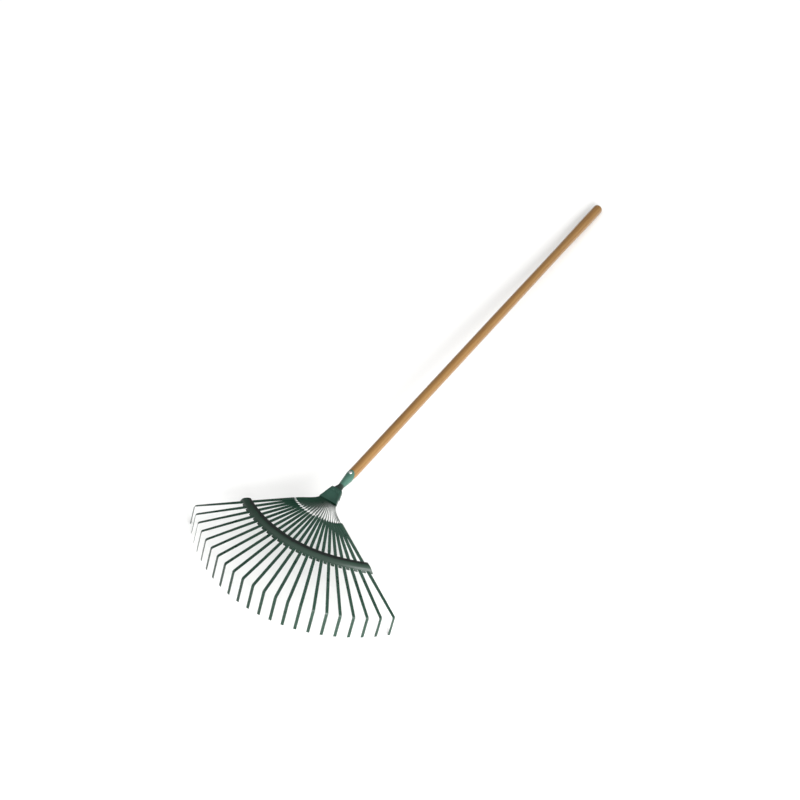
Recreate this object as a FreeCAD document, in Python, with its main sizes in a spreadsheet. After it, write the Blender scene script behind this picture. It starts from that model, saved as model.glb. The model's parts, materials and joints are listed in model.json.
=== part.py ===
"""Spring-steel leaf rake: 22 flat-strip tines fanned from a pressed clamp, braced by an
arched spreader bar and carried on a turned wooden handle.

Row frame: millimetres, +Z up from the floor the rake lies on, +Y towards the handle's butt,
X across the head. The origin is the middle of the rake's footprint, on the floor.
The rake rests on its two outer tine tips and on the butt of the handle.

Layout frame: the same axes with the origin on the floor under the middle of the clamp's mouth.
Everything is worked out there first and then moved by one common shift.
"""
import FreeCAD, Part
import math
import os

import Sketcher
from FreeCAD import Placement, Rotation, Vector

os.makedirs("parts", exist_ok=True)
doc = FreeCAD.newDocument("leaf_rake")

# ---------------------------------------------------------------- driving dimensions
# name, value (millimetres or degrees), meaning
DIMENSIONS = [
    ("tine_count", 22, "tines in the head"),
    ("tine_width", 7.2, "width of the flat spring-steel strip"),
    ("tine_gauge", 0.9, "thickness of the strip"),
    ("head_width", 560.0, "across the centres of the two outer tips"),
    ("elbow_half_angle", 48.9, "half angle of the arc that the elbows lie on"),
    ("elbow_reach", 273.4, "from the clamp's mouth to the middle elbows"),
    ("elbow_height", 86.8, "middle elbows above the floor"),
    ("elbow_droop", 18.5, "slope of the elbows' arc, down towards the handle"),
    ("elbow_bend_radius", 6.0, "centre-line radius of the bend above each hook"),
    ("hook_lean", 24.5, "hooks from the vertical, tips forward"),
    ("hook_length", 49.5, "hook of an outer tine, from its elbow"),
    ("tip_slope", 12.3, "slope of the plane that the tips are trimmed to"),
    ("mouth_pitch", 2.1, "between tines standing on edge in the clamp's mouth"),
    ("mouth_height", 109.5, "middle of the clamp's mouth above the floor"),
    ("clamp_slope", 4.5, "clamp plane, down towards the tines"),
    ("clamp_length", 38.0, "clamp, mouth to heel"),
    ("clamp_heel_width", 25.6, "outer width of the clamp at its heel"),
    ("clamp_tab_length", 20.0, "side tabs folded over the lower shell"),
    ("sheet_gauge", 1.2, "steel sheet of the clamp, spreader and socket"),
    ("panel_depth", 1.2, "depth of the panel pressed into the upper shell"),
    ("panel_margin", 4.5, "panel inside the upper shell's outline"),
    ("tine_grip", 22.0, "length of tine held inside the clamp"),
    ("fit_gap", 0.2, "gap between pieces that are pressed together"),
    ("keeper_diameter", 2.4, "pin threaded through the tines in the clamp"),
    ("keeper_gap", 0.4, "radial room round the pin in the tines"),
    ("keeper_inset", 12.0, "pin behind the clamp's mouth"),
    ("rivet_diameter", 4.0, "shank of the two clamp rivets"),
    ("rivet_head_diameter", 7.0, "head of the rivets"),
    ("rivet_head_height", 1.3, "height of each rivet head"),
    ("rivet_spacing", 14.0, "between the two rivets"),
    ("rivet_inset", 7.0, "rivets in front of the clamp's heel"),
    ("twist_reach", 44.0, "from the mouth to the line where the tines start to turn flat"),
    ("twist_room", -0.19, "middle tines' pitch at the twists, less the width of a strip"),
    ("twist_sweep", 65.0, "half sweep of that curve"),
    ("twist_setback", 5.0, "outer twists behind the middle ones"),
    ("twist_height", 106.3, "middle twists above the floor"),
    ("twist_rise", 13.0, "outer twists above the middle ones"),
    ("twist_length", 11.0, "length over which a tine turns through a right angle"),
    ("spreader_radius", 315.0, "plan radius of the spreader's middle line"),
    ("spreader_reach", 136.0, "from the clamp's mouth to the spreader's middle line"),
    ("spreader_width", 20.0, "plan width of the spreader"),
    ("spreader_crown", 3.6, "rise of the spreader's arch between its edges"),
    ("spreader_lip", 7.0, "toothed lip on the spreader's front edge"),
    ("spreader_lip_slope", 45.0, "slope of the lip, down and forwards"),
    ("spreader_bead", 2.6, "diameter of the rolled back edge"),
    ("spreader_overhang", 9.0, "spreader beyond the outer tines"),
    ("notch_gap", 0.7, "room beside a tine in the lip's notch"),
    ("handle_length", 1219.0, "wooden handle, end to end"),
    ("handle_diameter", 24.0, "barrel of the handle"),
    ("nose_diameter", 12.6, "small end of the handle inside the socket"),
    ("nose_length", 48.0, "tapered nose of the handle"),
    ("waist_diameter", 22.8, "grip at its thinnest"),
    ("waist_inset", 215.0, "waist from the butt"),
    ("taper_length", 330.0, "from the barrel down to the waist"),
    ("swell_diameter", 25.4, "swollen end of the grip"),
    ("swell_inset", 62.0, "full swell from the butt"),
    ("butt_round", 10.0, "rounding of the butt"),
    ("socket_reach", 54.0, "from the clamp's mouth to the handle's nose"),
    ("socket_height", 107.6, "centre of the handle's nose above the floor"),
    ("socket_length", 46.0, "socket over the handle, to its tip"),
    ("socket_scarf", 30.0, "length of the slanting cut on the socket's end"),
    ("socket_seam", 2.0, "open seam under the socket"),
    ("socket_neck", 1.5, "round neck in front of the handle's nose"),
    ("tang_width", 22.6, "flattened tang of the socket, inside the clamp"),
    ("tang_thickness", 6.2, "thickness of the tang"),
    ("tang_length", 13.0, "tang inside the clamp's heel"),
    ("screw_inset", 9.0, "screw from the tip of the socket"),
    ("screw_diameter", 4.2, "shank of the wood screw"),
    ("screw_length", 16.0, "shank under the head"),
    ("screw_head_diameter", 8.4, "round head"),
    ("screw_head_height", 3.2, "height of the head"),
    ("screw_slot_width", 1.2, "slot in the head"),
    ("screw_slot_depth", 1.6, "depth of the slot"),
    ("screw_gap", 0.1, "radial room round the screw's shank"),
]

sheet = doc.addObject("Spreadsheet::Sheet", "Sheet")
for row, (alias, value, meaning) in enumerate(DIMENSIONS, start=1):
    sheet.set(f"A{row}", alias)
    sheet.set(f"B{row}", str(value))
    sheet.set(f"C{row}", meaning)
    sheet.setAlias(f"B{row}", alias)
doc.recompute()


def size(alias):
    """A driving dimension as a plain number."""
    return float(getattr(sheet, alias))


def sine(degrees):
    return math.sin(math.radians(degrees))


def cosine(degrees):
    return math.cos(math.radians(degrees))


def tangent(degrees):
    return math.tan(math.radians(degrees))


def unit(vector):
    """A copy of a vector with a length of one."""
    return vector * (1.0 / vector.Length)


X_AXIS = Vector(1, 0, 0)
Y_AXIS = Vector(0, 1, 0)
Z_AXIS = Vector(0, 0, 1)
TINES = int(size("tine_count"))
OUTER_INDEX = (TINES - 1) / 2.0
STRIP_HALF = size("tine_width") / 2.0
GAUGE_HALF = size("tine_gauge") / 2.0

# ---------------------------------------------------------------- the fan, in the layout frame
# "across" runs from -1 at the first tine to +1 at the last one.
ELBOW_RADIUS = size("head_width") / 2.0 / sine(size("elbow_half_angle"))
HOOK = Vector(0, -sine(size("hook_lean")), -cosine(size("hook_lean")))
CLAMP_FORWARD = Vector(0, -cosine(size("clamp_slope")), -sine(size("clamp_slope")))
CLAMP_UP = Vector(0, -sine(size("clamp_slope")), cosine(size("clamp_slope")))
MOUTH = Vector(0, 0, size("mouth_height"))
TIP_NORMAL = Vector(0, sine(size("tip_slope")), cosine(size("tip_slope")))

# Half depth inside the clamp: half a strip, its gap and the pressed panel.
CLAMP_INSIDE = STRIP_HALF + size("fit_gap") + size("panel_depth")
CLAMP_OUTSIDE = CLAMP_INSIDE + size("sheet_gauge")
MOUTH_HALF = (OUTER_INDEX * size("mouth_pitch") + GAUGE_HALF + size("fit_gap")
              + size("sheet_gauge"))
HEEL_HALF = size("clamp_heel_width") / 2.0
CLAMP_TAPER = math.degrees(math.atan((MOUTH_HALF - HEEL_HALF) / size("clamp_length")))


def mouth_point(across):
    """Middle of a tine where it leaves the clamp."""
    return MOUTH + X_AXIS * (across * OUTER_INDEX * size("mouth_pitch"))


def mouth_direction(across):
    """A tine's direction in the clamp: it fans with the clamp's sides."""
    angle = across * CLAMP_TAPER
    return CLAMP_FORWARD * cosine(angle) + X_AXIS * sine(angle)


# The twists spread with the strip's width, so that neighbours clear each other as they turn.
TWIST_RADIUS = ((size("tine_width") + size("twist_room"))
                / sine(size("twist_sweep") / OUTER_INDEX))


def twist_point(across):
    """Where a tine stops standing on edge and starts to turn flat."""
    return Vector(TWIST_RADIUS * sine(size("twist_sweep") * across),
                  size("twist_setback") * across ** 2 - size("twist_reach"),
                  size("twist_height") + size("twist_rise") * across ** 2)


def elbow_point(across):
    """Corner between a tine and its hook: an arc in a plane that slopes down to the sides."""
    angle = size("elbow_half_angle") * across
    setback = ELBOW_RADIUS * (1.0 - cosine(angle))
    return Vector(ELBOW_RADIUS * sine(angle),
                  setback - size("elbow_reach"),
                  size("elbow_height") - setback * tangent(size("elbow_droop")))


def tine_direction(across):
    """The straight run of a tine, from its twist to its elbow."""
    return unit(elbow_point(across) - twist_point(across))


def spreader_point(across):
    """Where a tine crosses the spreader's middle line."""
    start = twist_point(across)
    along = tine_direction(across)
    centre_y = size("spreader_radius") - size("spreader_reach")
    from_centre = Vector(start.x, start.y - centre_y, 0)
    flat = Vector(along.x, along.y, 0)
    a = flat.dot(flat)
    b = from_centre.dot(flat)
    c = from_centre.dot(from_centre) - size("spreader_radius") ** 2
    return start + along * ((-b + math.sqrt(b * b - a * c)) / a)


def spreader_frame(across):
    """Point, outward, along and up directions of the spreader at one place."""
    step = 0.001
    along = unit(spreader_point(across + step) - spreader_point(across - step))
    up = unit(along.cross(tine_direction(across)) * -1.0)
    if up.z < 0:
        up = up * -1.0
    outward = along.cross(up)
    if outward.dot(tine_direction(across)) < 0:
        outward = outward * -1.0
    return spreader_point(across), outward, along, up


def hook_side(across):
    """Width direction of the strip at the elbow: square to the tine and to its hook."""
    return unit(tine_direction(across).cross(HOOK))


def hook_run(across, outer_run):
    """Length of a hook that ends with its lowest corner on the plane of the outer tips."""
    def reach(place):
        side = hook_side(place)
        face = side.cross(HOOK)
        corner = STRIP_HALF * abs(side.dot(TIP_NORMAL)) + GAUGE_HALF * abs(face.dot(TIP_NORMAL))
        return elbow_point(place).dot(TIP_NORMAL) - corner
    return outer_run + (reach(across) - reach(1.0)) / -HOOK.dot(TIP_NORMAL)


def tip_point(across):
    return elbow_point(across) + HOOK * hook_run(across, size("hook_length"))


def tip_corners(across):
    """The four corners of a tine's cut end."""
    side = hook_side(across)
    face = side.cross(HOOK)
    return [tip_point(across) + side * (STRIP_HALF * i) + face * (GAUGE_HALF * j)
            for i in (-1, 1) for j in (-1, 1)]


# ---------------------------------------------------------------- the rake at rest on the floor
FLOOR = min(corner.z for corner in tip_corners(1.0))
NOSE_HEIGHT = size("socket_height") - FLOOR
SWELL_HALF = size("swell_diameter") / 2.0
BUTT_CORE = SWELL_HALF - size("butt_round")
BUTT_RUN = size("handle_length") - size("butt_round")
HANDLE_SLOPE = math.degrees(
    math.asin((NOSE_HEIGHT - size("butt_round")) / math.hypot(BUTT_RUN, BUTT_CORE))
    - math.atan2(BUTT_CORE, BUTT_RUN))
HANDLE_AXIS = Vector(0, cosine(HANDLE_SLOPE), -sine(HANDLE_SLOPE))
HANDLE_UP = Vector(0, sine(HANDLE_SLOPE), cosine(HANDLE_SLOPE))
NOSE = Vector(0, size("socket_reach"), size("socket_height"))

middle = 1.0 / (TINES - 1)
FRONT = min(corner.y for corner in tip_corners(middle))
BACK = (NOSE.y + BUTT_RUN * cosine(HANDLE_SLOPE) + BUTT_CORE * sine(HANDLE_SLOPE)
        + size("butt_round"))
SHIFT = Vector(0, -(FRONT + BACK) / 2.0, -FLOOR)
clamp_turn = Rotation(X_AXIS, size("clamp_slope"))
handle_turn = Rotation(X_AXIS, -HANDLE_SLOPE)
CLAMP_PLACE = Placement(MOUTH + SHIFT, clamp_turn)
HANDLE_PLACE = Placement(NOSE + SHIFT, handle_turn)

sub_parts = []


def add_feature(label, shape, place=None):
    """A sub-part whose shape comes from Part's own functions, with its placement."""
    feature = doc.addObject("Part::Feature", label)
    feature.Label = label
    feature.Shape = shape
    feature.Placement = place or Placement(SHIFT, Rotation())
    sub_parts.append(feature)
    return feature


def add_body(label, place):
    """An empty PartDesign body for a sub-part."""
    body = doc.addObject("PartDesign::Body", label)
    body.Label = label
    body.Placement = place
    sub_parts.append(body)
    return body


def origin_plane(body, role):
    return [item for item in body.Origin.OriginFeatures if item.Role == role][0]


def add_sketch(body, role, offset=None):
    """A sketch on one of the body's own origin planes, raised by an expression."""
    sketch = body.newObject("Sketcher::SketchObject", body.Label + "_sketch")
    sketch.AttachmentSupport = [(origin_plane(body, role), "")]
    sketch.MapMode = "FlatFace"
    if offset:
        sketch.setExpression("AttachmentOffset.Base.z", offset)
    return sketch


def bind(sketch, kind, first, second, expression, name):
    """One distance of a sketch, tied to the sheet."""
    value = float(sketch.evalExpression(expression))
    number = sketch.addConstraint(Sketcher.Constraint(kind, *first, *second, value))
    sketch.renameConstraint(number, name)
    sketch.setExpression("Constraints." + name, expression)


def add_polygon(sketch, corners, prefix="corner"):
    """A closed outline whose corners are given as pairs of expressions."""
    points = [Vector(float(sketch.evalExpression(x)), float(sketch.evalExpression(y)), 0)
              for x, y in corners]
    first = sketch.GeometryCount
    count = len(points)
    for i in range(count):
        sketch.addGeometry(Part.LineSegment(points[i], points[(i + 1) % count]), False)
    for i in range(count):
        sketch.addConstraint(Sketcher.Constraint(
            "Coincident", first + i, 2, first + (i + 1) % count, 1))
    for i, (x, y) in enumerate(corners):
        vertex = (first + i, 1)
        for kind, axis, text, letter in (("DistanceX", -2, x, "x"), ("DistanceY", -1, y, "y")):
            if text == "0":
                sketch.addConstraint(Sketcher.Constraint("PointOnObject", *vertex, axis))
            else:
                bind(sketch, kind, (-1, 1), vertex, text, f"{prefix}_{i}_{letter}")


def add_circle(sketch, x, y, diameter, name):
    centre = Vector(float(sketch.evalExpression(x)), float(sketch.evalExpression(y)), 0)
    radius = float(sketch.evalExpression(diameter)) / 2.0
    index = sketch.addGeometry(Part.Circle(centre, Z_AXIS, radius), False)
    for kind, axis, text, letter in (("DistanceX", -2, x, "x"), ("DistanceY", -1, y, "y")):
        if text == "0":
            sketch.addConstraint(Sketcher.Constraint("PointOnObject", index, 3, axis))
        else:
            bind(sketch, kind, (-1, 1), (index, 3), text, f"{name}_{letter}")
    number = sketch.addConstraint(Sketcher.Constraint("Diameter", index, 2.0 * radius))
    sketch.renameConstraint(number, name)
    sketch.setExpression("Constraints." + name, diameter)


def add_pad(body, sketch, length, reverse=False):
    pad = body.newObject("PartDesign::Pad", body.Label + "_pad")
    pad.Profile = sketch
    pad.setExpression("Length", length)
    pad.Reversed = reverse
    return pad


def add_pocket(body, sketch, length, reverse=False):
    pocket = body.newObject("PartDesign::Pocket", body.Label + "_pocket")
    pocket.Profile = sketch
    pocket.setExpression("Length", length)
    pocket.Reversed = reverse
    return pocket


def add_revolution(body, sketch, axis_name):
    revolution = body.newObject("PartDesign::Revolution", body.Label + "_revolution")
    revolution.Profile = sketch
    revolution.ReferenceAxis = (sketch, [axis_name])
    revolution.Angle = 360.0
    return revolution


# ---------------------------------------------------------------- tines
CURVE_STEPS = 8      # sections along the curve between mouth and twist
MOUTH_SHARE = 0.6  # the strips leave the mouth nearly straight
TWIST_STEPS = 9      # sections along the quarter twist
ELBOW_STEPS = 6      # sections round the elbow


def strip_section(point, wide, thick):
    """The strip's rectangular section."""
    a = wide * STRIP_HALF
    b = thick * GAUGE_HALF
    corners = [point + a + b, point - a + b, point - a - b, point + a - b]
    return Part.makePolygon(corners + corners[:1])


def rolled(direction, upright, degrees):
    """Width and thickness directions: upright at 0 degrees, turned about the tine."""
    up = unit(upright - direction * upright.dot(direction))
    side = direction.cross(up)
    wide = up * cosine(degrees) + side * sine(degrees)
    return wide, direction.cross(wide)


def roll_to(direction, upright, wide, sign):
    """The roll, from upright, that brings the strip's width to a given direction."""
    up = unit(upright - direction * upright.dot(direction))
    side = direction.cross(up)
    angle = math.degrees(math.atan2(wide.dot(side), wide.dot(up)))
    while angle * sign < 0:
        angle += 180.0 * sign
    return angle


def curve_point(ends, handles, t):
    """A cubic curve through two ends."""
    a, b = ends
    p, q = handles
    u = 1.0 - t
    return a * u ** 3 + p * (3 * u * u * t) + q * (3 * u * t * t) + b * t ** 3


def curve_slope(ends, handles, t):
    a, b = ends
    p, q = handles
    u = 1.0 - t
    return unit((p - a) * (u * u) + (q - p) * (2 * u * t) + (b - q) * (t * t))


def tine_shape(across):
    """One tine: on edge in the clamp, curved out, twisted flat, straight and hooked."""
    sign = 1.0 if across > 0 else -1.0
    mouth = mouth_point(across)
    inward = mouth_direction(across)
    twist = twist_point(across)
    along = tine_direction(across)
    sections = []
    for point in (mouth - inward * size("tine_grip"), mouth):
        sections.append(strip_section(point, *rolled(inward, CLAMP_UP, 0.0)))

    chord = (twist - mouth).Length / 3.0
    ends = (mouth, twist)
    handles = (mouth + inward * (chord * MOUTH_SHARE), twist - along * chord)
    for i in range(1, CURVE_STEPS + 1):
        t = i / CURVE_STEPS
        direction = curve_slope(ends, handles, t)
        point = curve_point(ends, handles, t)
        sections.append(strip_section(point, *rolled(direction, CLAMP_UP, 0.0)))

    _, _, _, up = spreader_frame(across)
    flat_roll = roll_to(along, CLAMP_UP, along.cross(up), sign)
    for i in range(1, TWIST_STEPS + 1):
        t = i / TWIST_STEPS
        roll = flat_roll * t * t * (3.0 - 2.0 * t)
        point = twist + along * (size("twist_length") * t)
        sections.append(strip_section(point, *rolled(along, CLAMP_UP, roll)))

    passing = spreader_point(across) + along * (size("spreader_width") * 0.75)
    sections.append(strip_section(passing, *rolled(along, CLAMP_UP, flat_roll)))

    side = hook_side(across)
    turn = math.degrees(along.getAngle(HOOK))
    radius = size("elbow_bend_radius")
    cut = radius * tangent(turn / 2.0)
    elbow = elbow_point(across)
    start = elbow - along * cut
    inside = side.cross(along)
    if inside.dot(HOOK) < 0:
        inside = inside * -1.0
    wide = side
    if wide.dot(rolled(along, CLAMP_UP, flat_roll)[0]) < 0:
        wide = wide * -1.0
    centre = start + inside * radius
    for i in range(ELBOW_STEPS + 1):
        angle = turn * i / ELBOW_STEPS
        outward = along * sine(angle) - inside * cosine(angle)
        direction = along * cosine(angle) + inside * sine(angle)
        sections.append(strip_section(centre + outward * radius, wide, direction.cross(wide)))
    sections.append(strip_section(tip_point(across), wide, HOOK.cross(wide)))
    return Part.makeLoft(sections, True, True)


def keeper_point():
    return MOUTH - CLAMP_FORWARD * size("keeper_inset")


def keeper_cylinder(radius, half_length):
    return Part.makeCylinder(radius, 2.0 * half_length,
                             keeper_point() - X_AXIS * half_length, X_AXIS)


keeper_reach = size("keeper_inset") + size("keeper_diameter") / 2.0
keeper_half = (MOUTH_HALF - keeper_reach * tangent(CLAMP_TAPER)
               - size("sheet_gauge") / cosine(CLAMP_TAPER) - size("fit_gap"))
keeper_hole = keeper_cylinder(size("keeper_diameter") / 2.0 + size("keeper_gap"), MOUTH_HALF)
for number in range(TINES):
    place = (number - OUTER_INDEX) / OUTER_INDEX
    add_feature(f"tine_{number + 1:02d}", tine_shape(place).cut(keeper_hole))

add_feature("tine_keeper_pin", keeper_cylinder(size("keeper_diameter") / 2.0, keeper_half))

# ---------------------------------------------------------------- spreader bar and its backing
SPREADER_SECTIONS = 25
BAR_UNDERSIDE = GAUGE_HALF + size("fit_gap")
BAR_HALF = size("spreader_width") / 2.0


def in_spreader(across, out, up):
    """A point given by its distance outward and upward from the spreader's middle line."""
    point, outward, _, upward = spreader_frame(across)
    return point + outward * out + upward * up


def bar_section(across):
    """Arched sheet with a sloping lip in front and a rolled bead behind."""
    gauge = size("sheet_gauge")
    crown = size("spreader_crown")
    bead = size("spreader_bead")
    under = BAR_UNDERSIDE
    over = under + gauge
    slope = size("spreader_lip_slope")
    run = (size("spreader_lip") * cosine(slope), -size("spreader_lip") * sine(slope))
    skin = (gauge * sine(slope), gauge * cosine(slope))
    fold = (BAR_HALF - gauge, under)

    def at(out, up):
        return in_spreader(across, out, up)
    bead_centre = -BAR_HALF + bead / 2.0
    edges = [
        Part.LineSegment(at(*fold), at(fold[0] + run[0], fold[1] + run[1])),
        Part.LineSegment(at(fold[0] + run[0], fold[1] + run[1]),
                         at(fold[0] + run[0] + skin[0], fold[1] + run[1] + skin[1])),
        Part.LineSegment(at(fold[0] + run[0] + skin[0], fold[1] + run[1] + skin[1]),
                         at(fold[0] + skin[0], fold[1] + skin[1])),
        Part.Arc(at(fold[0] + skin[0], fold[1] + skin[1]), at(gauge / 2.0, over + crown),
                 at(bead_centre, under + bead)),
        Part.Arc(at(bead_centre, under + bead), at(-BAR_HALF, under + bead / 2.0),
                 at(bead_centre, under)),
        Part.LineSegment(at(bead_centre, under), at(bead_centre + bead / 2.0, under)),
        Part.Arc(at(bead_centre + bead / 2.0, under), at(gauge / 2.0, under + crown),
                 at(BAR_HALF - gauge, under)),
    ]
    return Part.Wire([edge.toShape() for edge in edges])


def backing_section(across):
    """Flat strip under the tines, up against the lip."""
    top = -BAR_UNDERSIDE
    bottom = top - size("sheet_gauge")
    front = (BAR_HALF - size("sheet_gauge") - size("fit_gap")
             + 2.0 * BAR_UNDERSIDE / tangent(size("spreader_lip_slope")))
    back = -BAR_HALF + size("spreader_bead") / 2.0
    corners = [in_spreader(across, *pair)
               for pair in ((front, top), (front, bottom), (back, bottom), (back, top))]
    return Part.makePolygon(corners + corners[:1])


def along_spreader(section):
    """A section carried along the spreader, a little past the outer tines."""
    reach = 1.0 + 2.2 * size("spreader_overhang") / (
        spreader_point(1.0) - spreader_point(-1.0)).Length * 2.0
    places = [reach * (2.0 * i / (SPREADER_SECTIONS - 1) - 1.0) for i in range(SPREADER_SECTIONS)]
    return Part.makeLoft([section(place) for place in places], True, False)


def end_trimmer(sign):
    """A block that trims the spreader's end in line with the outer tine."""
    point, _, _, up = spreader_frame(sign)
    along = tine_direction(sign)
    aside = unit(along.cross(up))
    if aside.x * sign < 0:
        aside = aside * -1.0
    span = 3.0 * size("spreader_width")
    corner = point + aside * size("spreader_overhang")
    third = aside.cross(along)
    block = Part.makeBox(span, 2.0 * span, 2.0 * span, Vector(0, -span, -span))
    turn = FreeCAD.Matrix(aside.x, along.x, third.x, corner.x,
                          aside.y, along.y, third.y, corner.y,
                          aside.z, along.z, third.z, corner.z)
    block.Placement = Placement(turn)
    return block


def notch(across):
    """Round-shouldered opening in the lip for one tine."""
    point, _, _, up = spreader_frame(across)
    along = tine_direction(across)
    aside = unit(along.cross(up))
    half = STRIP_HALF + size("notch_gap")
    top = GAUGE_HALF + size("fit_gap")
    depth = size("spreader_lip") * sine(size("spreader_lip_slope")) + size("fit_gap")
    flare = min(depth * 0.6, STRIP_HALF)
    bottom = top - depth

    def at(out, height):
        return point + aside * out + up * height
    edges = [Part.LineSegment(at(-half, top), at(half, top)),
             Part.LineSegment(at(half, top), at(half, bottom + flare))]
    bend = flare * (1.0 - sine(45))
    edges.append(Part.Arc(at(half, bottom + flare), at(half + bend, bottom + bend),
                          at(half + flare, bottom)))
    edges.append(Part.LineSegment(at(half + flare, bottom), at(-half - flare, bottom)))
    edges.append(Part.Arc(at(-half - flare, bottom), at(-half - bend, bottom + bend),
                          at(-half, bottom + flare)))
    edges.append(Part.LineSegment(at(-half, bottom + flare), at(-half, top)))
    face = Part.Face(Part.Wire([edge.toShape() for edge in edges]))
    return face.extrude(along * (2.0 * BAR_HALF))


trimmers = [end_trimmer(1.0), end_trimmer(-1.0)]
notches = [notch((number - OUTER_INDEX) / OUTER_INDEX) for number in range(TINES)]
add_feature("spreader_bar", along_spreader(bar_section).cut(trimmers + notches))
add_feature("spreader_backing_strip", along_spreader(backing_section).cut(trimmers))

# ---------------------------------------------------------------- clamp shells
# Outlines are in the clamp's own frame: X across, Y from the mouth to the heel, Z up.
MOUTH_HALF_TEXT = ("((Sheet.tine_count - 1) / 2 * Sheet.mouth_pitch + Sheet.tine_gauge / 2"
                   " + Sheet.fit_gap + Sheet.sheet_gauge)")
HEEL_HALF_TEXT = "(Sheet.clamp_heel_width / 2)"
LENGTH_TEXT = "Sheet.clamp_length"
UPPER_DEPTH = "(Sheet.tine_width / 2 + Sheet.fit_gap + Sheet.panel_depth)"
LOWER_DEPTH = "(Sheet.tine_width / 2 + Sheet.fit_gap)"
LOWER_OUTSIDE = STRIP_HALF + size("fit_gap") + size("sheet_gauge")


def half_width_text(station):
    """The clamp's outer half width at a distance from its mouth."""
    return (f"({MOUTH_HALF_TEXT} - ({MOUTH_HALF_TEXT} - {HEEL_HALF_TEXT})"
            f" * ({station}) / {LENGTH_TEXT})")


def trapezoid(front, back, inset):
    """Outline that follows the clamp's sides, moved in by an inset."""
    near = f"{half_width_text(front)} - {inset}"
    far = f"{half_width_text(back)} - {inset}"
    return [(f"-({near})", front), (near, front), (far, back), (f"-({far})", back)]


def round_edges(body, radius, wanted):
    """Fillet the edges of the body's tip that a test picks out."""
    doc.recompute()
    tip = body.Tip
    names = [f"Edge{i}" for i, edge in enumerate(tip.Shape.Edges, start=1) if wanted(edge)]
    fillet = body.newObject("PartDesign::Fillet", body.Label + "_fillet")
    fillet.Base = (tip, names)
    fillet.setExpression("Radius", radius)
    return fillet


def clamp_shell(label, depth, lower):
    """A pressed tray over or under the tines, open at the mouth and at the heel."""
    body = add_body(label, CLAMP_PLACE)
    outer = add_sketch(body, "XY_Plane")
    add_polygon(outer, trapezoid("0", LENGTH_TEXT, "0"))
    add_pad(body, outer, f"{depth} + Sheet.sheet_gauge", reverse=lower)
    face_height = (LOWER_OUTSIDE if lower else CLAMP_OUTSIDE) - 0.01

    def outer_rim(edge):
        box = edge.BoundBox
        return min(abs(box.ZMin), abs(box.ZMax)) > face_height and box.YMax > 1.0
    round_edges(body, "Sheet.sheet_gauge * 1.25", outer_rim)
    inner = add_sketch(body, "XY_Plane")
    add_polygon(inner, trapezoid("0", LENGTH_TEXT, "Sheet.sheet_gauge"))
    add_pocket(body, inner, depth, reverse=not lower)
    return body


def rivet_holes(body, reverse):
    sketch = add_sketch(body, "XY_Plane")
    for sign, name in (("-", "left"), ("", "right")):
        add_circle(sketch, f"{sign}Sheet.rivet_spacing / 2",
                   "Sheet.clamp_length - Sheet.rivet_inset", "Sheet.rivet_diameter", name)
    add_pocket(body, sketch, "Sheet.tine_width * 3", reverse=reverse)


PANEL_FRONT = "Sheet.panel_margin"
PANEL_BACK = "(Sheet.clamp_length - Sheet.rivet_inset - Sheet.panel_margin)"
upper_shell = clamp_shell("clamp_upper_shell", UPPER_DEPTH, lower=False)
boss = add_sketch(upper_shell, "XY_Plane", UPPER_DEPTH)
add_polygon(boss, trapezoid(f"({PANEL_FRONT} - Sheet.sheet_gauge)",
                            f"({PANEL_BACK} + Sheet.sheet_gauge)",
                            "(Sheet.panel_margin - Sheet.sheet_gauge)"))
add_pad(upper_shell, boss, "Sheet.panel_depth", reverse=True)
panel = add_sketch(upper_shell, "XY_Plane", f"{UPPER_DEPTH} + Sheet.sheet_gauge")
add_polygon(panel, trapezoid(PANEL_FRONT, PANEL_BACK, "Sheet.panel_margin"))
add_pocket(upper_shell, panel, "Sheet.panel_depth")
rivet_holes(upper_shell, reverse=True)

# Side tabs: outside the lower shell's walls, and part of the upper shell's walls.
TAB_BACK = "(Sheet.clamp_length - Sheet.sheet_gauge)"
TAB_FRONT = "(Sheet.clamp_length - Sheet.sheet_gauge - Sheet.clamp_tab_length)"


def tab_outline(sign, inside):
    """One tab's section: from an offset outside the wall to a sheet's thickness beyond."""
    outside = "(Sheet.fit_gap / 2 + Sheet.sheet_gauge)"
    return [(f"{sign}({half_width_text(TAB_FRONT)} + {inside})", TAB_FRONT),
            (f"{sign}({half_width_text(TAB_FRONT)} + {outside})", TAB_FRONT),
            (f"{sign}({half_width_text(TAB_BACK)} + {outside})", TAB_BACK),
            (f"{sign}({half_width_text(TAB_BACK)} + {inside})", TAB_BACK)]


tab_root = add_sketch(upper_shell, "XY_Plane")
tab_blade = add_sketch(upper_shell, "XY_Plane")
for sign, side in (("-", "left"), ("", "right")):
    add_polygon(tab_root, tab_outline(sign, "(0 - Sheet.sheet_gauge / 2)"), side)
    add_polygon(tab_blade, tab_outline(sign, "Sheet.fit_gap / 2"), side)
add_pad(upper_shell, tab_root, f"{UPPER_DEPTH} - Sheet.sheet_gauge")
add_pad(upper_shell, tab_blade, f"{LOWER_DEPTH} + Sheet.sheet_gauge", reverse=True)

lower_shell = clamp_shell("clamp_lower_shell", LOWER_DEPTH, lower=True)
rivet_holes(lower_shell, reverse=False)


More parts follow.
